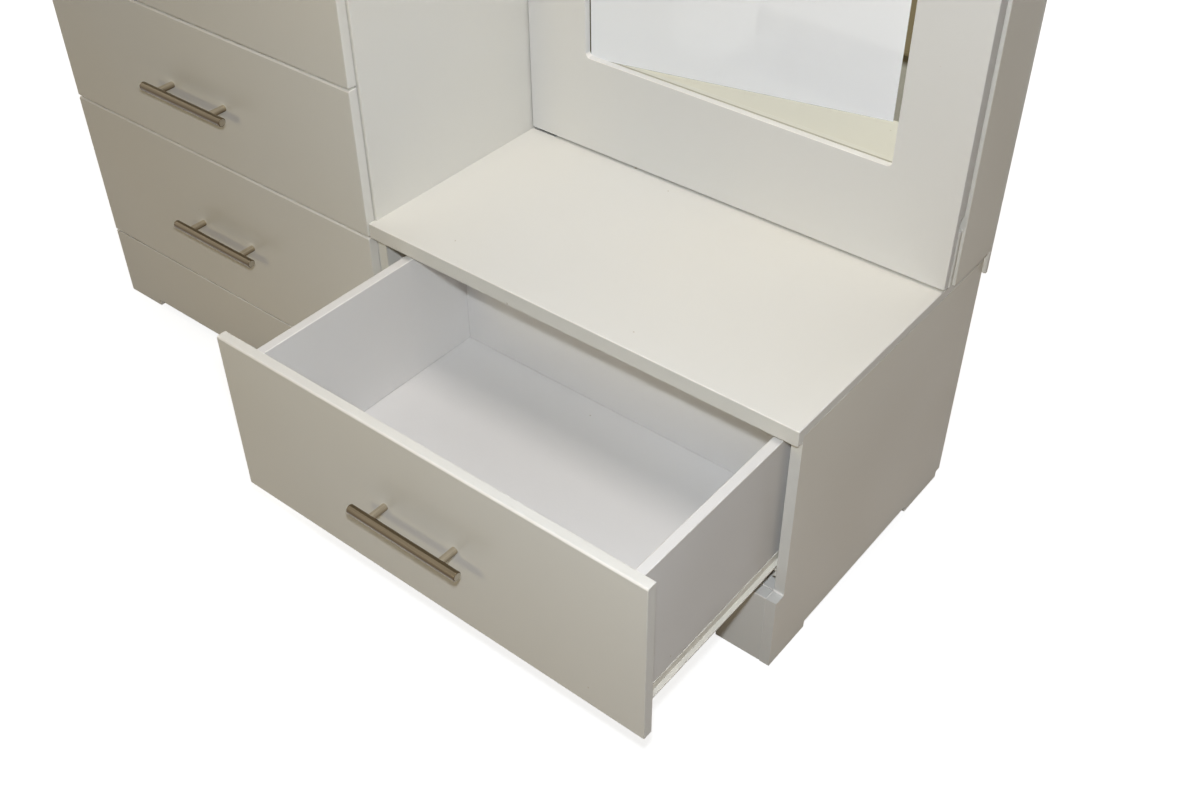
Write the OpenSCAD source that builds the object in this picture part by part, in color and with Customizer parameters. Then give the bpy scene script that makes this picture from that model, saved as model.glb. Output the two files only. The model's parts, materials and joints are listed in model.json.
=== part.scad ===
// Dressing unit of three joined cabinets: a tall chest, a low drawer cabinet and a mirror cabinet.
// Cabinet frame: x = 0 where the chest meets the low cabinet, y = 0 at the low plinth, z = 0 at the floor.

/* [Boards] */
// Thickness of every carcass board
board = 16; // [12:0.5:22]
// Thickness of every drawer front
front_t = 16; // [12:0.5:22]
// Thickness of the back panels of the chest and of the low cabinet
back_t = 6; // [3:0.5:10]
// Distance from the rear edge of the sides to those back panels
back_inset = 2; // [0:0.5:10]
// Rear plane of the chest and of the low cabinet, measured from the low plinth
depth = 516; // [480:1:620]

/* [Tall chest] */
// Outside width of the chest
chest_w = 746; // [600:1:900]
// Top line of the chest's plinth
chest_plinth_h = 141; // [110:1:180]
// Pitch of the deep bottom drawer
first_pitch = 281; // [250:1:320]
// Pitch of each of the drawers above it
drawer_pitch = 245; // [225:1:280]
// Plane of the chest's drawer fronts behind the low plinth
chest_front_y = 5; // [0:0.5:8]
// Distance from the end of a chest front to the outer face of the side
front_inset = 4; // [2:0.5:8]
// Gap between two fronts, and between a front and the plinth below it
front_gap = 3; // [2:0.5:4]

/* [Low cabinet] */
// Outside width of the low cabinet
table_w = 758; // [640:1:900]
// Height of the dressing surface
table_h = 447; // [400:1:520]
// Height of the low plinth
plinth_h = 134; // [100:1:170]
// Depth of the ledge on top of the low plinth
ledge_d = 20; // [16:0.5:26]
// Radius in the corner where a low side panel rises from the ledge
ledge_r = 3; // [1:0.5:6]
// Distance from the right end of the low drawer front to the outer face of the side
low_front_inset = 7; // [3:0.5:9]
// Thickness of the packer between the left side panel and its runner
packer_t = 39; // [30:1:50]
// Height of that packer
packer_h = 60; // [44:1:90]
// Gap between the low nosing's left end and the chest's drawer fronts
nosing_end_gap = 1; // [0.5:0.5:2]

/* [Tops] */
// Height of the nosing along the front of a top board
nosing_h = 26; // [20:0.5:34]
// Thickness of that nosing
nosing_t = 12.5; // [8:0.5:15]
// Gap between a nosing and the drawer front under it
top_gap = 4; // [3:0.5:6]

/* [Feet] */
// Height of the cut-outs between the feet
foot_gap_h = 12; // [8:1:20]
// Length of a front foot
front_foot = 94; // [70:1:130]
// Length of a rear foot
rear_foot = 116; // [90:1:140]
// Size of the notch that clears a skirting board at the back
skirting_notch = 11; // [6:1:16]

/* [Drawer boxes] */
// Thickness of the sides and back of a drawer box
wall_t = 15; // [12:0.5:18]
// Height of a box wall's lower edge above the lower edge of its front
wall_raise = 45; // [40:1:60]
// Distance from the top of a front down to the top of its box walls
wall_drop = 3.5; // [2:0.5:12]
// Length of a box from the back of its front to the rear of its back wall
box_len = 410; // [380:1:450]
// Thickness of a drawer bottom
floor_t = 9; // [6:0.5:12]
// Height of a drawer bottom above the lower edge of its walls
floor_raise = 11; // [8:0.5:16]
// Depth of the groove that holds a drawer bottom
groove_d = 6; // [4:0.5:8]
// Clearance between a drawer bottom's edge and the end of its groove
groove_fit = 0.2; // [0.1:0.05:0.4]
// Thickness of the glue line between the boards of a box
glue_gap = 0.1; // [0.05:0.05:0.2]
// Gap between a closed front and the edges of its cabinet's sides
close_gap = 1; // [0.6:0.1:2]
// How far the low drawer stands open
low_drawer_open = 295; // [200:1:300]

/* [Runners] */
// Gap between a drawer box and the cabinet on each side
runner_gap = 9; // [9:0.5:12]
// Thickness of the runner's steel
sheet_t = 1; // [0.8:0.1:1.4]
// Length of a runner
runner_len = 400; // [360:1:400]
// Radius of a runner's roller
roller_r = 5; // [4:0.5:6]
// Width of a runner's roller
roller_w = 4; // [3:0.5:4]
// Radius of a roller's pin
pin_r = 1.5; // [1:0.25:2]
// Clearance between a roller and its pin
pin_fit = 0.05; // [0.02:0.01:0.1]
// Clearance between a roller and the rail that it carries or runs in
rail_fit = 0.1; // [0.05:0.05:0.3]
// Height of a drawer rail's upright leg
leg_h = 14; // [10:1:20]
// Depth of the rolled lip under a drawer rail's flange
lip_h = 1.5; // [1:0.25:2]
// Gap between a drawer rail's flange and the cabinet rail
rail_gap = 0.5; // [0.4:0.1:1]
// Distance from a runner's end to the rim of its roller
roller_inset = 3; // [2:0.5:6]
// Set-back of a drawer rail behind its drawer front
runner_lag = 4; // [2:0.5:6]
// Set-back of a cabinet rail behind the front edges of the cabinet's sides
cabinet_rail_lag = 3; // [2:0.5:5]

/* [Handles] */
// Distance between the centres of a handle's two posts
post_pitch = 128; // [96:1:160]
// Radius of a handle's bar
bar_r = 7; // [5:0.5:8]
// Length of the bar past each post
bar_over = 35; // [20:1:50]
// Chamfer on the bar's ends
bar_chamfer = 0.8; // [0.4:0.1:1.5]
// Radius of a post
post_r = 5.5; // [4:0.5:6]
// Clearance between a post's end and the bar that it fits
saddle_fit = 0.05; // [0.02:0.01:0.1]
// Distance from the front's face to the bar's centre line
standoff = 32; // [26:1:40]
// Height of the first chest handle above the middle of its front
handle_shift = -5; // [-20:1:20]
// Radius of a handle screw's shank
screw_r = 2; // [1.5:0.25:2.5]
// Clearance round a screw in a front's hole
screw_fit = 0.25; // [0.15:0.05:0.5]
// Clearance round a screw's thread in its post
thread_fit = 0.05; // [0.02:0.01:0.1]
// Radius of a handle screw's head
screw_head_r = 4; // [3.5:0.25:5]
// Height of a handle screw's head
screw_head_h = 2.5; // [1.5:0.25:3.5]
// Depth to which a screw goes into its post
screw_depth = 14; // [8:1:18]

/* [Mirror cabinet] */
// Plane of the door's front behind the low plinth
door_y = 380.5; // [360:0.5:400]
// Thickness of the door
door_t = 22; // [20:0.5:24]
// Gap between the door's back and the front edges of the mirror cabinet
door_back_gap = 2.5; // [2.3:0.1:4]
// Gap under and over the door
door_gap = 4; // [3:0.5:6]
// Gap between the door's left edge and the chest
door_left_gap = 2.2; // [2:0.1:4]
// Length by which the mirror cabinet stands out past the low cabinet's right side
mirror_over = 6; // [0:0.5:10]
// Distance from the door's right edge to the outer face of the mirror cabinet
door_right_inset = 4.5; // [0.5:0.5:8]
// Width of the door's left stile
left_stile = 115.5; // [80:0.5:140]
// Width of the door's right stile
right_stile = 107.5; // [80:0.5:140]
// Height of the door's bottom rail
door_rail = 158.5; // [130:0.5:180]
// Height of the door's top rail
door_top_rail = 112; // [80:1:140]
// Radius of the window's corners
window_r = 8; // [4:1:20]
// Distance from the door's front to the mirror glass
mirror_reveal = 11.5; // [8:0.5:13]
// Width of the seat round the window that the glass rests on
mirror_seat = 10; // [6:1:16]
// Thickness of the mirror glass
glass_t = 4; // [3:0.5:5]
// Thickness of the backing board behind the glass
backing_t = 3; // [2:0.5:4]
// Clearance between the glass and the sides of its pocket
glass_fit = 0.3; // [0.2:0.1:1]
// Height of the strip across the bottom of the mirror cabinet
strip_h = 93; // [70:1:110]
// Thickness of that strip
strip_t = 8; // [5:0.5:9]
// Distance from the strip's ends to the outer faces of the mirror cabinet
strip_inset = 4; // [3:0.5:8]
// Height of the finger notch above the strip
notch_h = 22; // [18:1:30]
// Depth of the rebate in the door's back that clears the strip
rebate_d = 11; // [10:0.5:12]
// Radius at the end of that rebate
rebate_r = 6; // [2:1:8]
// Distance from the door's left edge to the pivot's centre
pivot_x = 8; // [7.5:0.5:10]
// Distance from the door's front to the pivot's centre
pivot_y = 5.5; // [5:0.5:6]
// Radius of a pivot pin
pivot_r = 2; // [1.5:0.25:2.5]
// Clearance between a pivot pin and its bush
pivot_fit = 0.05; // [0.02:0.01:0.1]
// Radius of a pivot bush
bush_r = 3.5; // [3.25:0.25:4]
// Depth of a pivot bush in the door
bush_len = 14; // [8:1:20]
// Thickness of a pivot plate
plate_t = 1.5; // [1:0.1:2]
// Length of a pivot plate
plate_len = 40; // [24:1:60]
// Width of a pivot plate
plate_w = 14; // [12:1:20]
// Thickness of the mirror cabinet's back panel
mirror_back_t = 7; // [4:0.5:10]
// Distance from the foot of the mirror cabinet down to the lower edge of that panel
back_drop = 40; // [20:1:60]
// Length by which the mirror cabinet's top runs past the door
top_over = 2; // [1:0.5:10]
// Radius of a shelf pin
shelf_pin_r = 2.5; // [2:0.25:3]
// Length of a shelf pin on each side of the panel's face
shelf_pin_len = 8; // [6:1:10]
// Clearance round a shelf pin in its hole
shelf_pin_fit = 0.05; // [0.02:0.01:0.1]
// Distance from the edges of a shelf to its pins
shelf_pin_edge = 20; // [12:1:30]
// Set-back of the shelves behind the front edges of the mirror cabinet
shelf_setback = 6; // [2:1:20]
// Clearance at each end of a shelf
shelf_fit = 1; // [0.5:0.5:2]

/* [Hidden] */
$fn = 48;
CHEST_DRAWERS = 5;
SHELVES = 3;
// Margin by which a cutting shape runs past the face that it cuts
CUT = 1;

function drawer_node(i, piece) = str("chest_drawer_", i, "_", piece);
function drawer_nodes(piece) = [for (i = [1:CHEST_DRAWERS]) drawer_node(i, piece)];

PAINT = [0.87, 0.86, 0.82];
RAIL = [0.88, 0.86, 0.79];
STEEL = [0.62, 0.58, 0.52];
SILVER = [0.80, 0.83, 0.86];
NYLON = [0.93, 0.93, 0.90];
HARDBOARD = [0.55, 0.42, 0.30];

// Front edges of the sides
low_side_y = ledge_d;
chest_side_y = chest_front_y + front_t + close_gap;

// Lines between the chest's drawer fronts, counted from the plinth
function line_z(i) = chest_plinth_h + (i == 0 ? 0 : first_pitch + (i - 1) * drawer_pitch);
function chest_front_z(i) = line_z(i - 1) + front_gap / 2;
function chest_front_h(i) = line_z(i) - line_z(i - 1) - front_gap;
chest_h = line_z(CHEST_DRAWERS) - front_gap / 2 + top_gap + nosing_h;

low_front_z = plinth_h + front_gap;
low_front_h = table_h - nosing_h - top_gap - low_front_z;
low_front_x0 = front_gap / 2;
low_front_x1 = table_w - low_front_inset;
low_front_y = low_side_y - close_gap - front_t;
seam_z = table_h - board;

// Outer faces of the low drawer's box and of a chest drawer's box
low_box_x0 = board + packer_t + runner_gap;
low_box_x1 = table_w - board - runner_gap;
chest_box_x0 = -chest_w + board + runner_gap;
chest_box_x1 = -board - runner_gap;

back_y = depth - back_inset - back_t;

// Heights on a runner, measured from the lower edge of a box wall
front_roller_z = -roller_r - rail_fit;
channel_top_z = front_roller_z - roller_r - CUT;
rear_roller_z = channel_top_z - sheet_t - rail_fit - roller_r;
channel_low_z = rear_roller_z - roller_r - rail_fit - sheet_t;
// Distances across a runner, measured from the outer face of a box wall
roller_x = 2 * sheet_t + rail_fit;
channel_x = 2 * sheet_t;
rail_w = runner_gap - sheet_t - rail_gap;
web_x = runner_gap - sheet_t;
// Distance from a runner's end to the centre of its roller
roller_end = roller_r + roller_inset;

mirror_side_y = door_y + door_t + door_back_gap;
door_x0 = door_left_gap;
mirror_x1 = table_w + mirror_over;
door_x1 = mirror_x1 - door_right_inset;
door_z0 = table_h + door_gap;
door_z1 = chest_h - board - door_gap;
window_x0 = door_x0 + left_stile;
window_x1 = door_x1 - right_stile;
window_z0 = door_z0 + door_rail;
window_z1 = door_z1 - door_top_rail;
strip_y = mirror_side_y - strip_t;
strip_z1 = table_h + strip_h;
rebate_z = strip_z1 + notch_h;
pivot_pos = [door_x0 + pivot_x, door_y + pivot_y];
shelf_y = mirror_side_y + shelf_setback;
shelf_pitch = (chest_h - board - strip_z1) / (SHELVES + 1);
function shelf_z(i) = strip_z1 + i * shelf_pitch;

// Origin of the whole object: the middle of its box, on the floor
front_reach = low_drawer_open - low_front_y + standoff + bar_r;
rear_reach = depth + mirror_back_t;
origin_x = (mirror_x1 - chest_w) / 2;
origin_y = (rear_reach - front_reach) / 2;

module placed(open = 0) translate([-origin_x, -origin_y - open, 0]) children();

// A block given by its low and high corners
module block(low, high) translate(low) cube(high - low);

// A flat shape drawn in y and z, extruded along x
module along_x(x, length) translate([x, 0, 0]) rotate([90, 0, 90]) linear_extrude(length) children();

// A rod along x
module rod_x(x, y, z, radius, length)
    translate([x, y, z]) rotate([0, 90, 0]) cylinder(r = radius, h = length);

// A rod that runs forward from a point
module rod_forward(x, y, z, radius, length)
    translate([x, y, z]) rotate([90, 0, 0]) cylinder(r = radius, h = length);

// Outline of the cut-outs under a side panel whose front foot starts at front_y
module side_feet(front_y) {
    recess_y = front_y + front_foot;
    translate([recess_y, -CUT]) square([depth - rear_foot - recess_y, foot_gap_h + CUT]);
    translate([depth - skirting_notch, -CUT]) square([skirting_notch + CUT, foot_gap_h + CUT]);
}

// A plinth board with a foot left at each end
module plinth_board(x0, x1, y0, y1, height, left_foot, right_foot) {
    difference() {
        block([x0, y0, 0], [x1, y1, height]);
        block([x0 + left_foot, y0 - CUT, -CUT], [x1 - right_foot, y1 + CUT, foot_gap_h]);
    }
}

module chest_side(x) {
    color(PAINT) placed() along_x(x, board) difference() {
        translate([chest_side_y, 0]) square([depth - chest_side_y, chest_h - board]);
        side_feet(0);
    }
}
module chest_left_side() chest_side(-chest_w);
module chest_right_side() chest_side(-board);

module chest_top() color(PAINT) placed()
    block([-chest_w, chest_side_y, chest_h - board], [0, depth, chest_h]);

module chest_nosing() color(PAINT) placed()
    block([-chest_w, chest_side_y - nosing_t, chest_h - nosing_h], [0, chest_side_y, chest_h]);

module chest_bottom() color(PAINT) placed()
    block([board - chest_w, chest_side_y, chest_plinth_h - board], [-board, back_y, chest_plinth_h]);

module chest_plinth() color(PAINT) placed() plinth_board(
    front_inset - chest_w, -front_inset, chest_front_y, chest_side_y, chest_plinth_h - front_gap / 2,
    front_foot - front_inset, front_foot - front_inset
);

module chest_back() color(PAINT) placed()
    block([board - chest_w, back_y, chest_plinth_h - board], [-board, back_y + back_t, chest_h - board]);

module handle_holes(x, y, z) {
    hole_r = screw_r + screw_fit;
    for (s = [-1, 1])
        rod_forward(x + s * post_pitch / 2, y + front_t + CUT, z, hole_r, front_t + 2 * CUT);
}

// A drawer front with the two holes of its handle
module drawer_front_board(x0, x1, y, z, height, handle_z) {
    difference() {
        block([x0, y, z], [x1, y + front_t, z + height]);
        handle_holes((x0 + x1) / 2, y, handle_z);
    }
}

// One side of a drawer box, with the groove for the bottom in its inner face
module box_side(x, inward, y, z, height) {
    groove_x = inward > 0 ? x + wall_t - groove_d : x - CUT;
    difference() {
        block([x, y, z], [x + wall_t, y + box_len, z + height]);
        block(
            [groove_x, y - CUT, z + floor_raise],
            [groove_x + groove_d + CUT, y + box_len - wall_t + groove_d, z + floor_raise + floor_t]
        );
    }
}

module box_back(x0, x1, y, z, height) {
    wall_y = y + box_len - wall_t;
    edge = wall_t + glue_gap;
    difference() {
        block([x0 + edge, wall_y, z], [x1 - edge, y + box_len, z + height]);
        block(
            [x0, wall_y - CUT, z + floor_raise],
            [x1, wall_y + groove_d, z + floor_raise + floor_t]
        );
    }
}

module box_floor(x0, x1, y, z) {
    edge = wall_t - groove_d + groove_fit;
    floor_z = z + floor_raise;
    block([x0 + edge, y, floor_z + glue_gap], [x1 - edge, y + box_len - edge, floor_z + floor_t - glue_gap]);
}

// Drawer rail on the right of a box: upright leg, flange, rolled lip and the tab with the rear pin
module drawer_rail(x, y, z) {
    tab_y = runner_len - 2 * roller_end;
    translate([x, y, z]) {
        block([0, 0, 0], [sheet_t, runner_len, leg_h]);
        block([0, 0, 0], [rail_w, runner_len, sheet_t]);
        block([rail_w - sheet_t, 0, -lip_h], [rail_w, runner_len, 0]);
        block([0, tab_y, rear_roller_z - pin_r - sheet_t], [sheet_t, runner_len, 0]);
        rod_x(0, runner_len - roller_end, rear_roller_z, pin_r, roller_x + roller_w + sheet_t / 2);
    }
}

module rear_roller(x, y, z) {
    difference() {
        rod_x(x + roller_x, y + runner_len - roller_end, z + rear_roller_z, roller_r, roller_w);
        rod_x(x, y + runner_len - roller_end, z + rear_roller_z, pin_r + pin_fit, runner_gap);
    }
}

// Cabinet rail that faces the drawer rail: web, channel and the front pin
module cabinet_rail(x, y, z) {
    translate([x, y, z]) {
        block([web_x, 0, channel_low_z], [runner_gap, runner_len, -sheet_t / 2]);
        block([channel_x, 0, channel_low_z], [web_x, runner_len, channel_low_z + sheet_t]);
        block([channel_x, 0, channel_top_z - sheet_t], [web_x, runner_len, channel_top_z]);
        pin_x = roller_x - sheet_t / 2;
        rod_x(pin_x, roller_end, front_roller_z, pin_r, runner_gap - pin_x);
    }
}

module front_roller(x, y, z) {
    difference() {
        rod_x(x + roller_x, y + roller_end, z + front_roller_z, roller_r, roller_w);
        rod_x(x, y + roller_end, z + front_roller_z, pin_r + pin_fit, runner_gap);
    }
}

// Draws its children for the right of a box, and mirrored for the left
module both_sides(x0, x1) {
    translate([x1, 0, 0]) children();
    translate([x0, 0, 0]) mirror([1, 0, 0]) children();
}

module handle_bar_solid(x, y, z) {
    length = post_pitch + 2 * bar_over;
    translate([x - length / 2, y - standoff, z]) rotate([0, 90, 0]) {
        cylinder(r1 = bar_r - bar_chamfer, r2 = bar_r, h = bar_chamfer);
        translate([0, 0, bar_chamfer]) cylinder(r = bar_r, h = length - 2 * bar_chamfer);
        translate([0, 0, length - bar_chamfer])
            cylinder(r1 = bar_r, r2 = bar_r - bar_chamfer, h = bar_chamfer);
    }
}

// The two posts, each with the blind hole of its screw and an end that fits the bar
module handle_post_pair(x, y, z) {
    for (s = [-1, 1]) difference() {
        rod_forward(x + s * post_pitch / 2, y, z, post_r, standoff);
        rod_forward(x + s * post_pitch / 2, y + CUT, z, screw_r + thread_fit, screw_depth + 2 * CUT);
        rod_x(x - post_pitch, y - standoff, z, bar_r + saddle_fit, 2 * post_pitch);
    }
}

module handle_screw_pair(x, y, z) {
    head_y = y + front_t;
    for (s = [-1, 1]) {
        rod_forward(x + s * post_pitch / 2, head_y, z, screw_r, front_t + screw_depth);
        rod_forward(x + s * post_pitch / 2, head_y + screw_head_h, z, screw_head_r, screw_head_h);
    }
}

// The chest's drawers, counted from the bottom
function box_z(front_z) = front_z + wall_raise;
function box_h(front_h) = front_h - wall_raise - wall_drop;
function chest_handle_z(i) = chest_front_z(i) + chest_front_h(i) / 2 + handle_shift;
chest_box_y = chest_front_y + front_t;
chest_rail_y = chest_side_y + cabinet_rail_lag;
chest_mid_x = -chest_w / 2;

module chest_drawer_front(i) color(PAINT) placed() drawer_front_board(
    front_inset - chest_w, -front_inset, chest_front_y, chest_front_z(i), chest_front_h(i), chest_handle_z(i)
);

module chest_drawer_box(i) {
    z = box_z(chest_front_z(i));
    height = box_h(chest_front_h(i));
    color(PAINT) placed() {
        box_side(chest_box_x0, 1, chest_box_y, z, height);
        box_side(chest_box_x1 - wall_t, -1, chest_box_y, z, height);
        box_back(chest_box_x0, chest_box_x1, chest_box_y, z, height);
        box_floor(chest_box_x0, chest_box_x1, chest_box_y, z);
    }
}

module chest_drawer_runners(i) color(RAIL) placed() both_sides(chest_box_x0, chest_box_x1) {
    drawer_rail(0, chest_box_y + runner_lag, box_z(chest_front_z(i)));
    rear_roller(0, chest_box_y + runner_lag, box_z(chest_front_z(i)));
}

module chest_drawer_handle(i) color(STEEL) placed() {
    handle_bar_solid(chest_mid_x, chest_front_y, chest_handle_z(i));
    handle_post_pair(chest_mid_x, chest_front_y, chest_handle_z(i));
    handle_screw_pair(chest_mid_x, chest_front_y, chest_handle_z(i));
}

module chest_runners() color(RAIL) placed() both_sides(chest_box_x0, chest_box_x1)
    for (i = [1:CHEST_DRAWERS]) {
        cabinet_rail(0, chest_rail_y, box_z(chest_front_z(i)));
        front_roller(0, chest_rail_y, box_z(chest_front_z(i)));
    }

// The low cabinet
module low_side_outline() {
    difference() {
        union() {
            square([depth, plinth_h]);
            translate([low_side_y, 0]) square([depth - low_side_y, seam_z]);
            translate([low_side_y - ledge_r, plinth_h]) square(ledge_r);
        }
        translate([low_side_y - ledge_r, plinth_h + ledge_r]) circle(ledge_r);
        side_feet(0);
    }
}
module low_left_side() color(PAINT) placed() along_x(0, board) low_side_outline();
module low_right_side() color(PAINT) placed() along_x(table_w - board, board) low_side_outline();

module low_top() color(PAINT) placed() block([0, low_side_y, seam_z], [table_w, depth, table_h]);

module low_nosing() {
    x0 = nosing_end_gap - front_inset;
    y0 = low_side_y - nosing_t;
    color(PAINT) placed() block([x0, y0, table_h - nosing_h], [table_w, low_side_y, table_h]);
}

module low_bottom() color(PAINT) placed()
    block([board, ledge_d, plinth_h - board], [table_w - board, back_y, plinth_h]);

module low_plinth() color(PAINT) placed() plinth_board(
    board, table_w - board, 0, ledge_d, plinth_h, front_foot - board, front_foot - board
);

module low_back() color(PAINT) placed()
    block([board, back_y, plinth_h - board], [table_w - board, back_y + back_t, seam_z]);

low_box_y = low_front_y + front_t;
low_box_z = box_z(low_front_z);
low_box_h = box_h(low_front_h);
low_rail_y = low_side_y + cabinet_rail_lag;
low_mid_x = (low_front_x0 + low_front_x1) / 2;
low_mid_z = low_front_z + low_front_h / 2;

module runner_packer() {
    low_z = low_box_z + channel_low_z - (packer_h + channel_low_z) / 2;
    color(PAINT) placed()
        block([board, low_rail_y, low_z], [board + packer_t, low_rail_y + runner_len, low_z + packer_h]);
}

module low_runners() color(RAIL) placed() both_sides(low_box_x0, low_box_x1)
    cabinet_rail(0, low_rail_y, low_box_z);

module front_rollers() color(NYLON) placed() both_sides(low_box_x0, low_box_x1)
    front_roller(0, low_rail_y, low_box_z);

// The low drawer, drawn closed and then moved out by placed()
module drawer_front() color(PAINT) placed(low_drawer_open)
    drawer_front_board(low_front_x0, low_front_x1, low_front_y, low_front_z, low_front_h, low_mid_z);

module drawer_left_side() color(PAINT) placed(low_drawer_open)
    box_side(low_box_x0, 1, low_box_y, low_box_z, low_box_h);

module drawer_right_side() color(PAINT) placed(low_drawer_open)
    box_side(low_box_x1 - wall_t, -1, low_box_y, low_box_z, low_box_h);

module drawer_back() color(PAINT) placed(low_drawer_open)
    box_back(low_box_x0, low_box_x1, low_box_y, low_box_z, low_box_h);

module drawer_bottom() color(PAINT) placed(low_drawer_open)
    box_floor(low_box_x0, low_box_x1, low_box_y, low_box_z);

module drawer_runners() color(RAIL) placed(low_drawer_open) both_sides(low_box_x0, low_box_x1)
    drawer_rail(0, low_box_y + runner_lag, low_box_z);

module rear_rollers() color(NYLON) placed(low_drawer_open) both_sides(low_box_x0, low_box_x1)
    rear_roller(0, low_box_y + runner_lag, low_box_z);

module handle_bar() color(STEEL) placed(low_drawer_open)
    handle_bar_solid(low_mid_x, low_front_y, low_mid_z);

module handle_posts() color(STEEL) placed(low_drawer_open)
    handle_post_pair(low_mid_x, low_front_y, low_mid_z);

module handle_screws() color(STEEL) placed(low_drawer_open)
    handle_screw_pair(low_mid_x, low_front_y, low_mid_z);

// The mirror cabinet
module shelf_pin_row(radius, reach) {
    for (i = [1:SHELVES], y = [shelf_y + shelf_pin_edge, depth - shelf_pin_edge])
        rod_x(board - reach, y, shelf_z(i) - shelf_pin_r, radius, 2 * reach);
}

module mirror_left_side() color(PAINT) placed() difference() {
    block([0, mirror_side_y, table_h], [board, depth, chest_h - board]);
    shelf_pin_row(shelf_pin_r + shelf_pin_fit, shelf_pin_len);
}

module mirror_right_side() color(PAINT) placed() difference() {
    block([mirror_x1 - board, mirror_side_y, table_h], [mirror_x1, depth, chest_h - board]);
    translate([mirror_x1 - 2 * board, 0, 0]) shelf_pin_row(shelf_pin_r + shelf_pin_fit, shelf_pin_len);
}

module mirror_top() color(PAINT) placed()
    block([0, door_y - top_over, chest_h - board], [mirror_x1, depth, chest_h]);

module mirror_strip() color(PAINT) placed()
    block([strip_inset, strip_y, table_h], [mirror_x1 - strip_inset, mirror_side_y, strip_z1]);

module mirror_back() color(PAINT) placed()
    block([0, depth, table_h - back_drop], [mirror_x1, depth + mirror_back_t, chest_h]);

module mirror_shelves() {
    x0 = board + shelf_fit;
    color(PAINT) placed() for (i = [1:SHELVES])
        block([x0, shelf_y, shelf_z(i)], [mirror_x1 - x0, depth, shelf_z(i) + board]);
}

module shelf_pins() color(STEEL) placed() {
    shelf_pin_row(shelf_pin_r, shelf_pin_len);
    translate([mirror_x1 - 2 * board, 0, 0]) shelf_pin_row(shelf_pin_r, shelf_pin_len);
}

// The door's window with round corners, drawn in x and z
module window_shape() {
    width = window_x1 - window_x0;
    height = window_z1 - window_z0;
    translate([window_x0, window_z0]) {
        translate([window_r, 0]) square([width - 2 * window_r, height]);
        translate([0, window_r]) square([width, height - 2 * window_r]);
        for (x = [window_r, width - window_r], z = [window_r, height - window_r])
            translate([x, z]) circle(window_r);
    }
}

// The seat of the glass and of its backing, cut from the door's back, less a margin
module mirror_pocket(y0, y1, margin) {
    block(
        [window_x0 - mirror_seat + margin, y0, window_z0 - mirror_seat + margin],
        [window_x1 + mirror_seat - margin, y1, window_z1 + mirror_seat - margin]
    );
}

module door_rebate_outline() {
    rebate_y = door_y + door_t - rebate_d;
    translate([rebate_y, door_z0 - CUT]) square([rebate_d + CUT, rebate_z - rebate_r - door_z0 + CUT]);
    translate([rebate_y + rebate_r, rebate_z - rebate_r]) square([rebate_d - rebate_r + CUT, rebate_r]);
    translate([rebate_y + rebate_r, rebate_z - rebate_r]) circle(rebate_r);
}

module door_frame() {
    glass_y = door_y + mirror_reveal;
    color(PAINT) placed() difference() {
        block([door_x0, door_y, door_z0], [door_x1, door_y + door_t, door_z1]);
        translate([0, door_y + door_t + CUT, 0]) rotate([90, 0, 0])
            linear_extrude(door_t + 2 * CUT) window_shape();
        mirror_pocket(glass_y, door_y + door_t + CUT, 0);
        along_x(door_x0 - CUT, door_x1 - door_x0 + 2 * CUT) door_rebate_outline();
        for (z = [door_z0 - CUT, door_z1 - bush_len])
            translate([pivot_pos.x, pivot_pos.y, z]) cylinder(r = bush_r + pivot_fit, h = bush_len + CUT);
    }
}

module mirror_glass() {
    glass_y = door_y + mirror_reveal;
    color(SILVER) placed() mirror_pocket(glass_y, glass_y + glass_t, glass_fit);
}

module mirror_backing() {
    glass_y = door_y + mirror_reveal + glass_t;
    color(HARDBOARD) placed() mirror_pocket(glass_y, glass_y + backing_t, glass_fit);
}

// A pivot plate with its collar and pin, pointing up from the plate's seat
module pivot_plate() {
    block([bush_r - pivot_x, CUT - pivot_y, 0], [plate_len, plate_w - pivot_y, plate_t]);
    cylinder(r = bush_r, h = door_gap - rail_fit);
    cylinder(r = pivot_r, h = door_gap + bush_len - CUT);
}

module pivot_plates() color(STEEL) placed() translate([pivot_pos.x, pivot_pos.y, 0]) {
    translate([0, 0, table_h]) pivot_plate();
    translate([0, 0, chest_h - board]) mirror([0, 0, 1]) pivot_plate();
}

module pivot_bushes() color(NYLON) placed() translate([pivot_pos.x, pivot_pos.y, 0])
    for (z = [door_z0, door_z1 - bush_len]) difference() {
        translate([0, 0, z]) cylinder(r = bush_r, h = bush_len);
        translate([0, 0, z - CUT]) cylinder(r = pivot_r + pivot_fit, h = bush_len + 2 * CUT);
    }

chest_left_side();
chest_right_side();
chest_top();
chest_nosing();
chest_bottom();
chest_plinth();
chest_back();
chest_runners();
for (i = [1:CHEST_DRAWERS]) {
    chest_drawer_front(i);
    chest_drawer_box(i);
    chest_drawer_runners(i);
    chest_drawer_handle(i);
}
low_left_side();
low_right_side();
low_top();
low_nosing();
low_bottom();
low_plinth();
low_back();
runner_packer();
low_runners();
front_rollers();
drawer_front();
drawer_left_side();
drawer_right_side();
drawer_back();
drawer_bottom();
drawer_runners();
rear_rollers();
handle_bar();
handle_posts();
handle_screws();
mirror_left_side();
mirror_right_side();
mirror_top();
mirror_strip();
mirror_back();
mirror_shelves();
shelf_pins();
door_frame();
mirror_glass();
mirror_backing();
pivot_plates();
pivot_bushes();
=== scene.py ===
import json
import math

import bmesh
import bpy
from mathutils import Matrix, Vector


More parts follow.
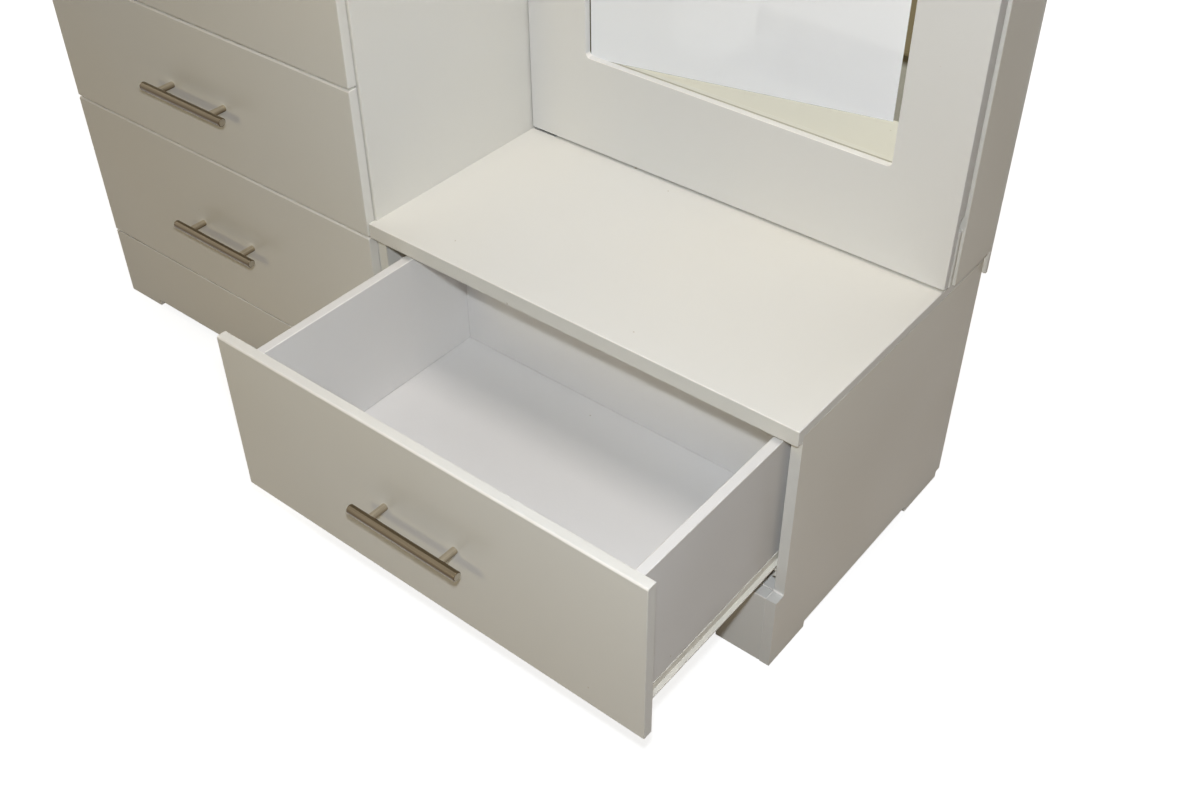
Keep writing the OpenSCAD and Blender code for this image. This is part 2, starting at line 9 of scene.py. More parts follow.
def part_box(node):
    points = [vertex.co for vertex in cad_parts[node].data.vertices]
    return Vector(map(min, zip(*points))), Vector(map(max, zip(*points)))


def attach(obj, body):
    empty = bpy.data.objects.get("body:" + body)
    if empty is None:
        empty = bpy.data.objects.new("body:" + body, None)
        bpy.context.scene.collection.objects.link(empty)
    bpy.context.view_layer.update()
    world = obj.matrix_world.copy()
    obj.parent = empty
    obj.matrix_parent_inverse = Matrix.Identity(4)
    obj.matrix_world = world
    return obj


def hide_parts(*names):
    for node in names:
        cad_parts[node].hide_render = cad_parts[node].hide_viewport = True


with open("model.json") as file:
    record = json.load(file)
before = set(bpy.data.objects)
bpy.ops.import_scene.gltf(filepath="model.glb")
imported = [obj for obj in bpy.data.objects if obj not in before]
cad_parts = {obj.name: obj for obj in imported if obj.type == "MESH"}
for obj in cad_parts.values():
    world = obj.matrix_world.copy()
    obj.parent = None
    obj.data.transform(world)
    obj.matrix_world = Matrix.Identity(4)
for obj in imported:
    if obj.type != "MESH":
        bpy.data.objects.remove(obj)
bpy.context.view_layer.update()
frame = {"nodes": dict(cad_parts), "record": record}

# The photograph, and the camera measured from the front right corner of the dressing surface
PHOTO_WIDTH = 1200
FOCAL_PIXELS = 1340.9
SENSOR_WIDTH = 36.0
CAMERA_OFFSET = Vector((0.5815, -1.1264, 1.1032))
CAMERA_AZIMUTH = 38.85
CAMERA_PITCH = -40.35
CAMERA_ROLL = -0.35

# Widths of the rounded edges, in metres, and the number of steps across one
BOARD_EDGE = 0.0016
FRONT_EDGE = 0.0014
FRONT_TOP_EDGE = 0.0038
WINDOW_EDGE = 0.0030
RUNNER_EDGE = 0.0003
EDGE_STEPS = 3

# An edge that turns by more than this is sharp, and one no longer than this belongs to a small hole
SHARP_ANGLE = math.radians(35)
HOLE_STEP = 0.0006

# Faces that meet at a smaller angle than this become one, and so do points closer than this
FLAT_ANGLE = math.radians(1)
MERGE_DISTANCE = 0.00001

# How far a point may stand off a board's face or a painted seam and still count as lying on it
ON_PLANE = 0.0001
ON_SEAM = 0.0002

# Handles: the bar's chamfer, its end as pairs of distance and inset in chamfers, and the posts' step
BAR_CHAMFER = 0.0008
BAR_END = ((0.0, 1.6), (0.25, 1.0), (1.0, 0.25), (1.6, 0.0))
POST_SEAT = 0.0006
TURN_STEPS = 48

# Width of the mirror's outer strip that its seat in the door covers
MIRROR_SEAT = 0.010

# The lower edge of the painted reflection on the mirror: where it starts at the left, its slope to the
# right, and how soft it is
CLEAR_LEFT = 0.050
CLEAR_SLOPE = 0.125
CLEAR_BLUR = 0.0015

# The clear strip to the right of the painted reflection: its width, and how soft its edge is
CLEAR_RIGHT = 0.013
RIGHT_BLUR = 0.001

# Strength of the painted reflection on the mirror, a bluish-white sheet for the bright room, where it thins
# below the door's top, and where it pales above its foot
REFLECTION_STRENGTH = 0.93
REFLECTION_TOP = 0.25
REFLECTION_THINS = (0.40, 0.12)
REFLECTION_PALES = (0.20, 0.42)

# The mirror's dark rim, painted shade of the door's reveal seen in the glass: its width, how soft it is,
# and how strong along the foot
RIM_WIDTH = 0.0012
RIM_BLUR = 0.0006
FOOT_STRENGTH = 0.4

# The dark stretch of the clear strip, a painted reflection of the dark room: how far above the door's foot
# it starts, and how softly
DARK_REFLECTION_FOOT = 0.297
DARK_REFLECTION_BLUR = 0.01

# Boards with tones of their own: the low drawer's box, with its own tones and finish, and the two panels on
# the right, whose right faces get browner tones that are painted warm light
BOX_BOARDS = ("drawer_left_side", "drawer_right_side", "drawer_back", "drawer_bottom")
RIGHT_BOARDS = ("low_right_side", "mirror_right_side")

# Finishes of the paint: strength and fineness of its orange peel, and its roughness
SATIN = (0.04, 90.0, 0.36)
BOX_FINISH = (0.22, 330.0, 0.40)
PAINT_SPECULAR = 0.22
PAINT_COAT = 0.03
PAINT_COAT_ROUGH = 0.08

# Where a normal counts as on an upward rounded edge, which gets a painted highlight, or as facing the
# right, which gets painted warm light, and which peaks of the noise are specks
HIGHLIGHT_EDGE_FROM = (0.12, 0.30)
HIGHLIGHT_EDGE_TO = (0.88, 0.97)
TO_RIGHT = (0.5, 0.9)
SPECK_PEAKS = (0.915, 0.925)

# Nickel: its roughness, and the normals from the painted shade of the face to the top, from the painted
# shade below, and of a bar's right end, which gets a painted highlight
NICKEL_ROUGH = (0.13, 0.20)
FACE_SHADE_TO_TOP = (0.20, 0.70)
UNDER_SHADE_TO_FACE = (-0.50, 0.05)
BAR_END_HIGHLIGHT = (0.90, 0.95)

# Colours, as linear values
PAINT_TONES = ((0.80, 0.775, 0.705), (0.76, 0.755, 0.725))
# Painted warm light: browner tones for faces that look to the right, as the warm light there would make
# them
RIGHT_WARM_LIGHT_TONES = ((0.795, 0.750, 0.640), (0.765, 0.730, 0.655))
# Painted light: the door's tones differ from the other boards' only by being cooler and a little darker,
# for the cooler light that falls on the door
DOOR_COOL_LIGHT_TONES = ((0.790, 0.773, 0.735), (0.735, 0.735, 0.725))
BOX_TONES = ((0.79, 0.765, 0.733), (0.755, 0.745, 0.735))
# Painted highlight: the paler colour of rounded edges that face upward, as if lit from above
PAINT_EDGE_HIGHLIGHT = (0.93, 0.90, 0.85)
SPECK = (0.60, 0.55, 0.47)
# Bar tones: bright and darker brushed lines, then painted shade for the face and the underside, darker
# browns for the dark surroundings it reflects
NICKEL_BAR_AND_SHADE = ((0.22, 0.175, 0.115), (0.18, 0.142, 0.092), (0.085, 0.060, 0.036), (0.050, 0.031, 0.015))
# Post tones, in the same order: a lit copy of the nickel, far paler than the bar's as painted light on
# posts that catch it, with painted shade on the face and underside
NICKEL_POST_LIT = ((0.82, 0.75, 0.64), (0.66, 0.59, 0.48), (0.50, 0.43, 0.33), (0.12, 0.085, 0.05))
# Painted highlight on a bar's right end
NICKEL_END_HIGHLIGHT = (0.62, 0.58, 0.52)
RUNNER = (0.90, 0.865, 0.775)
NYLON = (0.80, 0.80, 0.76)
ZINC = (0.55, 0.56, 0.57)
# Silver, with a cream cast that is a painted reflection of the cream surfaces in front of the mirror
SILVER_AND_CREAM_REFLECTION = (0.87, 0.87, 0.79)
# Dark colour of the painted shade at the mirror's rim and of the painted reflection in its right strip
MIRROR_DARK_REFLECTION = (0.17, 0.14, 0.08)
# Colours of the painted reflection on the mirror, low and high: bluish white for the bright room
REFLECTION_LOW = (0.91, 0.93, 0.97)
REFLECTION_HIGH = (0.98, 0.985, 1.0)
HARDBOARD = (0.20, 0.12, 0.07)

# The floor: half its side, its colours as seen and as thrown back, and its glow near and far
FLOOR_REACH = 12.0
FLOOR_SEEN = (0.36, 0.36, 0.35)
FLOOR_BOUNCE = (0.34, 0.262, 0.16)
FLOOR_GLOW = 0.84
GLOW_RISES = (1.6, 4.0)

# Lamps, placed from the camera, from the middle of the dressing surface, and from the origin
TABLE_MIDDLE = Vector((-0.38, 0.0, -0.1))
FLASH_OFFSET = Vector((-0.0575, 0.0714, 0.108))
FRONT_OFFSET = Vector((-0.625, -2.43, 0.96))
OVERHEAD_OFFSET = Vector((0.0, 0.0, 2.60))
BEHIND_LAMP = Vector((0.3, 3.2, 1.5))
LEFT_LAMP = Vector((-3.4, 0.4, 1.5))
UNIT_MIDDLE = Vector((0.0, 0.0, 0.7))

# Colours of the lamps and of the room's own light
FLASH_WHITE = (0.87, 0.93, 1.0)
FRONT_WHITE = (1.0, 0.87, 0.48)
OVERHEAD_WHITE = (1.0, 0.945, 0.90)
FILL_WHITE = (1.0, 0.98, 0.95)
ROOM = (1.0, 0.68, 0.36)
ROOM_STRENGTH = 0.05


class Shader:
    """A node material that starts as one Principled shader."""

    def __init__(self, name, rough=0.5, metal=0.0):
        self.material = bpy.data.materials.new(name)
        self.material.use_nodes = True
        self.nodes = self.material.node_tree.nodes
        self.links = self.material.node_tree.links
        self.bsdf = self.nodes["Principled BSDF"]
        self.bsdf.inputs["Roughness"].default_value = rough
        self.bsdf.inputs["Metallic"].default_value = metal
        self.place = self.nodes.new("ShaderNodeTexCoord").outputs["Object"]

    def scaled(self, scale):
        """The place on the object, stretched along the axes."""
        mapping = self.nodes.new("ShaderNodeMapping")
        mapping.inputs["Scale"].default_value = scale
        self.links.new(self.place, mapping.inputs["Vector"])
        return mapping.outputs["Vector"]

    def noise(self, scale, detail=2.0, stretch=(1, 1, 1)):
        noise = self.nodes.new("ShaderNodeTexNoise")
        noise.inputs["Scale"].default_value = scale
        noise.inputs["Detail"].default_value = detail
        self.links.new(self.scaled(stretch), noise.inputs["Vector"])
        return noise.outputs["Fac"]

    def ramp(self, value, low, high, low_out=0.0, high_out=1.0):
        """Takes a value from one range to another, and holds it there."""
        ramp = self.nodes.new("ShaderNodeMapRange")
        ramp.inputs["From Min"].default_value = low
        ramp.inputs["From Max"].default_value = high
        ramp.inputs["To Min"].default_value = low_out
        ramp.inputs["To Max"].default_value = high_out
        self.links.new(value, ramp.inputs["Value"])
        return ramp.outputs["Result"]

    def mixed(self, factor, first, second):
        """A mix of two colours, each a tuple or a socket."""
        mix = self.nodes.new("ShaderNodeMix")
        mix.data_type = "RGBA"
        self.links.new(factor, mix.inputs["Factor"])
        for socket, colour in ((mix.inputs["A"], first), (mix.inputs["B"], second)):
            if isinstance(colour, tuple):
                socket.default_value = (*colour, 1.0)
            else:
                self.links.new(colour, socket)
        return mix.outputs["Result"]

    def maths(self, operation, first, second):
        node = self.nodes.new("ShaderNodeMath")
        node.operation = operation
        self.links.new(first, node.inputs[0])
        self.links.new(second, node.inputs[1])
        return node.outputs[0]

    def product(self, first, second):
        return self.maths("MULTIPLY", first, second)

    def largest(self, first, second):
        return self.maths("MAXIMUM", first, second)

    def parts(self, vector):
        split = self.nodes.new("ShaderNodeSeparateXYZ")
        self.links.new(vector, split.inputs[0])
        return split.outputs

    def normal(self, axis):
        return self.parts(self.nodes.new("ShaderNodeNewGeometry").outputs["Normal"])[axis]

    def colour(self, value):
        self.links.new(value, self.bsdf.inputs["Base Color"])

    def rough(self, value):
        self.links.new(value, self.bsdf.inputs["Roughness"])

    def bump(self, height, strength, distance):
        bump = self.nodes.new("ShaderNodeBump")
        bump.inputs["Strength"].default_value = strength
        bump.inputs["Distance"].default_value = distance
        self.links.new(height, bump.inputs["Height"])
        self.links.new(bump.outputs["Normal"], self.bsdf.inputs["Normal"])


def paint_material(name, tones, finish, right_light_tones=None):
    """Sprayed white paint: tone drift, faint orange peel, rare dust specks, and a painted highlight on the
    rounded edges that face upward.

    Where right_light_tones are given, the faces that look to the right have them instead: browner tones
    that are painted warm light falling from the right.
    """
    peel, peel_scale, rough = finish
    s = Shader(name)
    drift = s.ramp(s.noise(scale=1.6, detail=1.0), 0.30, 0.70)
    up = s.normal("Z")
    # Painted highlight: rounded edges that face upward turn paler, as light from above would make them
    rounded = s.product(s.ramp(up, *HIGHLIGHT_EDGE_FROM), s.ramp(up, *HIGHLIGHT_EDGE_TO, 1.0, 0.0))
    flat = s.mixed(drift, *tones)
    # Painted warm light: faces that look to the right take the browner tones
    if right_light_tones:
        flat = s.mixed(s.ramp(s.normal("X"), *TO_RIGHT), flat, s.mixed(drift, *right_light_tones))
    base = s.mixed(rounded, flat, PAINT_EDGE_HIGHLIGHT)
    speck = s.ramp(s.noise(scale=85.0, detail=0.0), *SPECK_PEAKS)
    s.colour(s.mixed(speck, base, SPECK))
    s.rough(s.ramp(s.noise(scale=5.0, detail=1.0), 0.25, 0.75, rough * 0.9, rough * 1.15))
    s.bump(s.noise(scale=peel_scale, detail=1.0), strength=peel, distance=0.0004)
    s.bsdf.inputs["Specular IOR Level"].default_value = PAINT_SPECULAR
    s.bsdf.inputs["Coat Weight"].default_value = PAINT_COAT
    s.bsdf.inputs["Coat Roughness"].default_value = PAINT_COAT_ROUGH
    return s.material


def nickel_material(name, along, tones):
    """Brushed nickel, with its fine lines running along the rod, and painted shade on the face and below:
    darker browns there stand for the dark surroundings that it reflects.

    The tones are those of the bright lines, the lines between them, the painted shade of the face and that
    of the underside.
    """
    bright, shade, face, under = tones
    s = Shader(name, metal=1.0)
    stretch = tuple(0.03 if axis == along else 1.0 for axis in "xyz")
    lines = s.noise(scale=700.0, detail=2.0, stretch=stretch)
    brushed = s.mixed(s.ramp(lines, 0.35, 0.65), bright, shade)
    up = s.normal("Z")
    # Painted shade: the face and the underside darken by the normal's height, as if in shade and reflecting
    # the dark below
    shaded_face = s.mixed(s.ramp(up, *FACE_SHADE_TO_TOP), face, brushed)
    rod = s.mixed(s.ramp(up, *UNDER_SHADE_TO_FACE), under, shaded_face)
    # Painted highlight: a bar's right end is pale, as if catching the light
    if along == "x":
        rod = s.mixed(s.ramp(s.normal("X"), *BAR_END_HIGHLIGHT), rod, NICKEL_END_HIGHLIGHT)
    s.colour(rod)
    s.rough(s.ramp(lines, 0.3, 0.7, *NICKEL_ROUGH))
    s.bump(lines, strength=0.015, distance=0.0001)
    s.bsdf.inputs["Anisotropic"].default_value = 0.4
    return s.material


def coated_material(name, colour, rough, grain):
    """An even coating or plastic with slight clouds and a fine grain."""
    s = Shader(name, rough)
    darker = tuple(c * 0.94 for c in colour)
    s.colour(s.mixed(s.ramp(s.noise(scale=30.0, detail=3.0), 0.35, 0.65), colour, darker))
    s.bump(s.noise(scale=grain, detail=1.0), strength=0.05, distance=0.0002)
    return s.material


def metal_material(name, colour, rough):
    """A plated metal with small darker spots."""
    s = Shader(name, rough, metal=1.0)
    darker = tuple(c * 0.8 for c in colour)
    s.colour(s.mixed(s.ramp(s.noise(scale=220.0, detail=3.0), 0.35, 0.65), colour, darker))
    s.bump(s.noise(scale=400.0, detail=2.0), strength=0.05, distance=0.0002)
    return s.material


def hardboard_material():
    """Brown hardboard with visible fibres."""
    s = Shader("hardboard_brown", rough=0.75)
    fibres = s.noise(scale=420.0, detail=5.0, stretch=(1.0, 1.0, 0.5))
    s.colour(s.mixed(fibres, HARDBOARD, tuple(c * 1.5 for c in HARDBOARD)))
    s.bump(fibres, strength=0.3, distance=0.0005)
    return s.material


def mirror_rim(s, place, right, foot, glass_low):
    """How dark the mirror's silver is at its left edge, and over all.

    It is dark at the left, dark at the right above the given foot, and faintly dark along the bottom:
    painted shade of the reveal at the rim, and a painted reflection of the dark room at the right.
    """
    at_right = s.product(s.ramp(place["X"], right, right + RIGHT_BLUR),
                         s.ramp(place["Z"], foot, foot + DARK_REFLECTION_BLUR))
    left_rim = glass_low.x + MIRROR_SEAT + RIM_WIDTH
    at_left = s.ramp(place["X"], left_rim, left_rim + RIM_BLUR, 1.0, 0.0)
    low_rim = glass_low.z + MIRROR_SEAT + RIM_WIDTH
    at_foot = s.ramp(place["Z"], low_rim, low_rim + RIM_BLUR, FOOT_STRENGTH, 0.0)
    return at_left, s.largest(s.largest(at_right, at_left), at_foot)


def mirror_material():
    """Silvered glass with a painted reflection, a bluish-white sheet that stands for the bright room, which
    leaves the lower edge and the right edge clear.
    """
    low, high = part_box("door_frame")
    glass_low, glass_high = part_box("mirror_glass")
    s = Shader("silvered_glass", rough=0.012, metal=1.0)
    place = s.parts(s.place)
    clear = s.mixed(s.noise(scale=3.0), SILVER_AND_CREAM_REFLECTION, tuple(c * 0.97 for c in SILVER_AND_CREAM_REFLECTION))
    right = glass_high.x - MIRROR_SEAT - CLEAR_RIGHT
    dark_left, dark = mirror_rim(s, place, right, low.z + DARK_REFLECTION_FOOT, glass_low)
    # Painted shade and reflection: the rim and the right strip take the dark colour
    s.colour(s.mixed(dark, clear, MIRROR_DARK_REFLECTION))
    slope = s.nodes.new("ShaderNodeMath")
    slope.operation = "MULTIPLY_ADD"
    s.links.new(place["X"], slope.inputs[0])
    left = glass_low.x + MIRROR_SEAT + CLEAR_LEFT
    slope.inputs[1].default_value = -CLEAR_SLOPE
    slope.inputs[2].default_value = CLEAR_SLOPE * left - (glass_low.z + MIRROR_SEAT)
    above = s.maths("ADD", slope.outputs[0], place["Z"])
    lower_mask = s.ramp(above, 0.0, CLEAR_BLUR)
    right_mask = s.ramp(place["X"], right, right + RIGHT_BLUR, 1.0, 0.0)
    left_mask = s.ramp(dark_left, 0.0, 1.0, 1.0, 0.0)
    top_mask = s.ramp(place["Z"], *(high.z - drop for drop in REFLECTION_THINS), REFLECTION_STRENGTH, REFLECTION_TOP)
    masked = s.product(s.product(s.product(lower_mask, right_mask), left_mask), top_mask)
    # Painted reflection: a bluish-white diffuse sheet over the silver stands for the bright room that it
    # reflects
    reflection_sheet = s.nodes.new("ShaderNodeBsdfDiffuse")
    climb = s.ramp(place["Z"], *(low.z + rise for rise in REFLECTION_PALES))
    s.links.new(s.mixed(climb, REFLECTION_LOW, REFLECTION_HIGH), reflection_sheet.inputs["Color"])
    mix = s.nodes.new("ShaderNodeMixShader")
    s.links.new(masked, mix.inputs[0])
    s.links.new(s.bsdf.outputs[0], mix.inputs[1])
    s.links.new(reflection_sheet.outputs[0], mix.inputs[2])
    s.links.new(mix.outputs[0], s.nodes["Material Output"].inputs["Surface"])
    return s.material


paint = paint_material("white_paint_satin", PAINT_TONES, SATIN)
# Painted light: the door frame's cooler tones stand for the cooler light on it
paint_door_cool_light = paint_material("white_paint_door_cool_light", DOOR_COOL_LIGHT_TONES, SATIN)
# Painted warm light on the right faces of the two right panels
paint_side_warm_light = paint_material("white_paint_side_warm_light", PAINT_TONES, SATIN, RIGHT_WARM_LIGHT_TONES)
paint_box = paint_material("white_paint_box", BOX_TONES, BOX_FINISH)
nickel_x = nickel_material("brushed_nickel_bar_painted_shade", "x", NICKEL_BAR_AND_SHADE)
nickel_y = nickel_material("brushed_nickel_post_lit", "y", NICKEL_POST_LIT)
runner_coat = coated_material("runner_powder_coat", RUNNER, rough=0.32, grain=500.0)
nylon = coated_material("white_nylon", NYLON, rough=0.45, grain=600.0)
zinc = metal_material("zinc_plate", ZINC, rough=0.34)
silver = mirror_material()
hardboard = hardboard_material()


def node_material(node):
    """The material that a node wears."""
    if node.endswith("runners"):
        return runner_coat
    if node.endswith("rollers") or node == "pivot_bushes":
        return nylon
    if node in ("handle_screws", "shelf_pins", "pivot_plates"):
        return zinc
    if node == "mirror_glass":
        return silver
    if node == "mirror_backing":
        return hardboard
    if node in BOX_BOARDS or node.endswith("_box"):
        return paint_box
    if node == "door_frame":
        return paint_door_cool_light
    if node in RIGHT_BOARDS:
        return paint_side_warm_light
    return paint


def edge_width(node):
    """The width of a node's rounded edges, or 0 for round and small pieces, which keep theirs."""
    if node.endswith(("handle", "rollers", "bar", "posts", "screws", "pins", "bushes", "plates", "glass")):
        return 0
    if node.endswith("runners"):
        return RUNNER_EDGE
    if node == "door_frame":
        return WINDOW_EDGE
    if node.endswith(("front", "nosing")):
        return FRONT_EDGE
    return BOARD_EDGE


def body_of(node):
    """The body that a node rides on."""
    for body, nodes in frame["record"]["behaviour"]["bodies"].items():
        if node in nodes:
            return body


def add_piece(name, bm, materials, node):
    """Puts a finished mesh in the scene with the given materials, riding on the body of the node that it
    stands for.
    """
    mesh = bpy.data.meshes.new(name)
    bm.normal_update()
    bm.to_mesh(mesh)
    bm.free()
    for material in materials:
        mesh.materials.append(material)
    piece = bpy.data.objects.new(name, mesh)
    bpy.context.scene.collection.objects.link(piece)
    normals = piece.modifiers.new("normals", "WEIGHTED_NORMAL")
    normals.keep_sharp = True
    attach(piece, body_of(node))
    return piece


def on_seam(node, edge):
    """Whether an edge lies on the painted-over seam between a top board and its nosing."""
    if not node.endswith(("_top", "_nosing")) or node == "mirror_top":
        return False
    low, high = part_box(node)
    seam = high.y if node.endswith("_nosing") else low.y
    return all(abs(v.co.y - seam) < ON_SEAM for v in edge.verts)


def round_edges(bm, edges, width):
    bmesh.ops.bevel(bm, geom=edges, offset=width, offset_type="OFFSET", segments=EDGE_STEPS, profile=0.5,
                    affect="EDGES", clamp_overlap=True, miter_outer="ARC")


def sharp_edges(bm):
    """The outward edges of a board, without the rims of its small holes."""
    found = [e for e in bm.edges if e.is_manifold and e.calc_face_angle_signed() > SHARP_ANGLE]
    return [e for e in found if e.calc_length() > HOLE_STEP]


def dress_board(node, width):
    """A board or a profile of the frame again, with its outer edges rounded."""
    bm = bmesh.new()
    bm.from_mesh(frame["nodes"][node].data)
    bmesh.ops.remove_doubles(bm, verts=bm.verts, dist=MERGE_DISTANCE)
    bmesh.ops.dissolve_limit(bm, angle_limit=FLAT_ANGLE, verts=bm.verts, edges=bm.edges)
    if node.endswith("_front"):
        low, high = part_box(node)
        near, top = low.y + ON_PLANE, high.z - ON_PLANE
        upper = [e for e in sharp_edges(bm) if all(v.co.y < near and v.co.z > top for v in e.verts)]
        round_edges(bm, upper, FRONT_TOP_EDGE)
    round_edges(bm, [e for e in sharp_edges(bm) if not on_seam(node, e)], width)
    for face in bm.faces:
        face.smooth = True
    for edge in bm.edges:
        if edge.is_manifold and abs(edge.calc_face_angle_signed()) > SHARP_ANGLE:
            edge.smooth = False
    piece = add_piece(node + "_dressed", bm, [node_material(node)], node)
    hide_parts(node)


def lathe(bm, start, along, profile, material_index):
    """Turns a profile of (distance, radius) pairs round an axis and closes both ends."""
    along = Vector(along).normalized()
    side = along.orthogonal().normalized()
    other = along.cross(side)
    rings = []
    for distance, radius in profile:
        ring = []
        for k in range(TURN_STEPS):
            angle = 2 * math.pi * k / TURN_STEPS
            spoke = side * math.cos(angle) + other * math.sin(angle)
            ring.append(bm.verts.new(start + along * distance + spoke * radius))
        rings.append(ring)
    faces = [bm.faces.new(list(reversed(rings[0]))), bm.faces.new(rings[-1])]
    for first, second in zip(rings, rings[1:]):
        for k in range(TURN_STEPS):
            nxt = (k + 1) % TURN_STEPS
            faces.append(bm.faces.new((first[k], first[nxt], second[nxt], second[k])))
    for face in faces:
        face.material_index = material_index
        face.smooth = len(face.verts) == 4
    for ring in (rings[0], rings[-1]):
        for k in range(TURN_STEPS):
            bm.edges.get((ring[k], ring[(k + 1) % TURN_STEPS])).smooth = False


def make_handle(name, node, low, high, face_y, replaced):
    """A bar with chamfered ends on two posts that stand on the drawer's front."""
    posts_low, posts_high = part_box("handle_posts")
    post_r = (posts_high.z - posts_low.z) / 2
    pitch = posts_high.x - posts_low.x - 2 * post_r
    bar_r = (high.z - low.z) / 2
    length = high.x - low.x
    middle = Vector(((low.x + high.x) / 2, low.y + bar_r, (low.z + high.z) / 2))
    bm = bmesh.new()
    near_end = [(at * BAR_CHAMFER, bar_r - inset * BAR_CHAMFER) for at, inset in BAR_END]
    far_end = [(length - distance, radius) for distance, radius in reversed(near_end)]
    lathe(bm, Vector((low.x, middle.y, middle.z)), (1, 0, 0), near_end + far_end, 0)
    reach = face_y - middle.y
    waist = post_r - POST_SEAT / 2
    post = [(0, post_r), (reach - 2 * POST_SEAT, post_r), (reach - POST_SEAT, waist), (reach, waist)]
    for side in (-1, 1):
        start = Vector((middle.x + side * pitch / 2, middle.y, middle.z))
        lathe(bm, start, (0, 1, 0), post, 1)
    piece = add_piece(name, bm, [nickel_x, nickel_y], node)
    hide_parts(*replaced)


def dress_nodes():
    """Gives every node its material, and every board its rounded edges."""
    for name, node_object in frame["nodes"].items():
        node_object.data.materials.clear()
        node_object.data.materials.append(node_material(name))
        width = edge_width(name)
        if width:
            dress_board(name, width)


def make_handles():
    """The low drawer's handle, whose bar and posts are nodes of their own, and the chest's."""
    make_handle("low_drawer_handle", "handle_bar", *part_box("handle_bar"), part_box("drawer_front")[0].y,
                ("handle_bar", "handle_posts"))
    for name in list(frame["nodes"]):
        if name.endswith("_handle"):
            front = name.replace("_handle", "_front")
            make_handle(name + "_turned", name, *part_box(name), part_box(front)[0].y, (name,))


def seen_rays(nodes, links):
    """1 for camera, glossy and transmission rays, 0 for the rest."""
    path = nodes.new("ShaderNodeLightPath")
    first = nodes.new("ShaderNodeMath")
    first.operation = "MAXIMUM"
    links.new(path.outputs["Is Camera Ray"], first.inputs[0])
    links.new(path.outputs["Is Glossy Ray"], first.inputs[1])
    second = nodes.new("ShaderNodeMath")
    second.operation = "MAXIMUM"
    links.new(first.outputs[0], second.inputs[0])
    links.new(path.outputs["Is Transmission Ray"], second.inputs[1])
    return second.outputs[0]


def make_floor():
    """A floor that looks near white, but throws only a little warm light back at the unit."""
    mesh = bpy.data.meshes.new("floor")
    signs = ((-1, -1), (1, -1), (1, 1), (-1, 1))
    corners = [(x * FLOOR_REACH, y * FLOOR_REACH, 0) for x, y in signs]
    mesh.from_pydata(corners, [], [(0, 1, 2, 3)])
    floor = bpy.data.objects.new("floor", mesh)
    bpy.context.scene.collection.objects.link(floor)
    material = bpy.data.materials.new("pale_floor")
    material.use_nodes = True
    nodes, links = material.node_tree.nodes, material.node_tree.links
    nodes.clear()
    seen = seen_rays(nodes, links)
    tint = nodes.new("ShaderNodeMix")
    tint.data_type = "RGBA"
    tint.inputs["A"].default_value = (*FLOOR_BOUNCE, 1.0)
    tint.inputs["B"].default_value = (*FLOOR_SEEN, 1.0)
    links.new(seen, tint.inputs["Factor"])
    diffuse = nodes.new("ShaderNodeBsdfDiffuse")
    links.new(tint.outputs["Result"], diffuse.inputs["Color"])
    glow = nodes.new("ShaderNodeEmission")
    distance = nodes.new("ShaderNodeVectorMath")
    distance.operation = "LENGTH"
    links.new(nodes.new("ShaderNodeNewGeometry").outputs["Position"], distance.inputs[0])
    far = nodes.new("ShaderNodeMapRange")
    far.inputs["From Min"].default_value, far.inputs["From Max"].default_value = GLOW_RISES
    far.inputs["To Min"].default_value = FLOOR_GLOW
    far.inputs["To Max"].default_value = 1.0
    links.new(distance.outputs["Value"], far.inputs["Value"])
    lift = nodes.new("ShaderNodeMath")
    lift.operation = "MULTIPLY"
    links.new(far.outputs["Result"], lift.inputs[1])
    links.new(seen, lift.inputs[0])
    links.new(lift.outputs[0], glow.inputs["Strength"])
    both = nodes.new("ShaderNodeAddShader")
    links.new(diffuse.outputs[0], both.inputs[0])
    links.new(glow.outputs[0], both.inputs[1])
    out = nodes.new("ShaderNodeOutputMaterial")
    links.new(both.outputs[0], out.inputs["Surface"])
    mesh.materials.append(material)


def top_corner():
    """The front right corner of the low cabinet's top board, from which the camera and lamps are placed."""
    low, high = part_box("low_top")
    return Vector((high.x, low.y, high.z))


def area_light(name, place, aim, colour, size, power):
    """A square lamp with sides of the given size, in metres, and the given power, in watts."""
    data = bpy.data.lights.new(name, "AREA")
    data.shape = "SQUARE"
    data.size = size
    data.energy = power
    data.color = colour
    light = bpy.data.objects.new(name, data)
    light.location = place
    light.rotation_euler = (aim - place).to_track_quat("-Z", "Y").to_euler()
    bpy.context.scene.collection.objects.link(light)
    return light


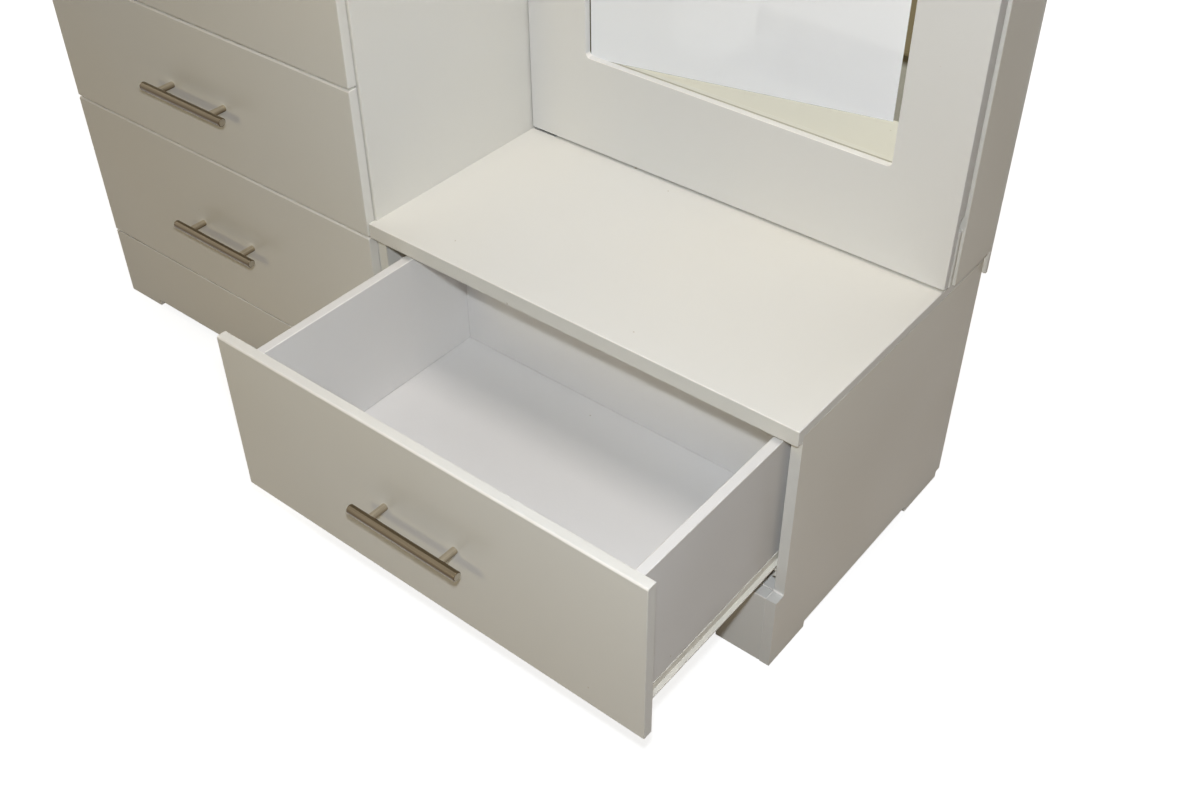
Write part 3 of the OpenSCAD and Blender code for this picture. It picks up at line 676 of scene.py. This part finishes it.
def make_lights():
    """A small cool flash above the camera, warmer lamps at the front left and overhead, and two fills.

    The flash is hidden from reflections, where such a small lamp would burn out grazed paint.
    """
    eye = top_corner() + CAMERA_OFFSET
    middle = top_corner() + TABLE_MIDDLE
    flash = area_light("flash", eye + FLASH_OFFSET, middle, FLASH_WHITE, size=0.07, power=21.0)
    flash.visible_glossy = False
    area_light("front_left", middle + FRONT_OFFSET, middle, FRONT_WHITE, size=0.40, power=6.3)
    area_light("over_table", middle + OVERHEAD_OFFSET, middle, OVERHEAD_WHITE, size=0.8, power=19.6)
    area_light("behind", BEHIND_LAMP, UNIT_MIDDLE, FILL_WHITE, size=1.8, power=46)
    area_light("left", LEFT_LAMP, UNIT_MIDDLE, FILL_WHITE, size=1.8, power=40)


def make_world():
    """Faint warm light from the room, which is plain white to the camera and in reflections."""
    world = bpy.data.worlds.new("room")
    bpy.context.scene.world = world
    world.use_nodes = True
    nodes, links = world.node_tree.nodes, world.node_tree.links
    nodes.clear()
    room = nodes.new("ShaderNodeBackground")
    room.inputs["Color"].default_value = (*ROOM, 1.0)
    room.inputs["Strength"].default_value = ROOM_STRENGTH
    white = nodes.new("ShaderNodeBackground")
    white.inputs["Color"].default_value = (1.0, 1.0, 1.0, 1.0)
    white.inputs["Strength"].default_value = 1.0
    mix = nodes.new("ShaderNodeMixShader")
    links.new(seen_rays(nodes, links), mix.inputs[0])
    links.new(room.outputs[0], mix.inputs[1])
    links.new(white.outputs[0], mix.inputs[2])
    out = nodes.new("ShaderNodeOutputWorld")
    links.new(mix.outputs[0], out.inputs["Surface"])


def make_camera():
    """The photograph's camera: its place, its direction and its focal length."""
    data = bpy.data.cameras.new("camera")
    data.sensor_fit = "HORIZONTAL"
    data.sensor_width = SENSOR_WIDTH
    data.lens = FOCAL_PIXELS / PHOTO_WIDTH * SENSOR_WIDTH
    place = top_corner() + CAMERA_OFFSET
    camera = bpy.data.objects.new("camera", data)
    turn = Matrix.Rotation(math.radians(CAMERA_AZIMUTH), 4, "Z")
    tilt = Matrix.Rotation(math.radians(90 + CAMERA_PITCH), 4, "X")
    roll = Matrix.Rotation(math.radians(CAMERA_ROLL), 4, "Z")
    camera.matrix_world = Matrix.Translation(place) @ turn @ tilt @ roll
    bpy.context.scene.collection.objects.link(camera)
    bpy.context.scene.camera = camera


dress_nodes()
make_handles()
make_floor()
make_lights()
make_world()
make_camera()
bpy.context.scene.view_settings.view_transform = "Standard"
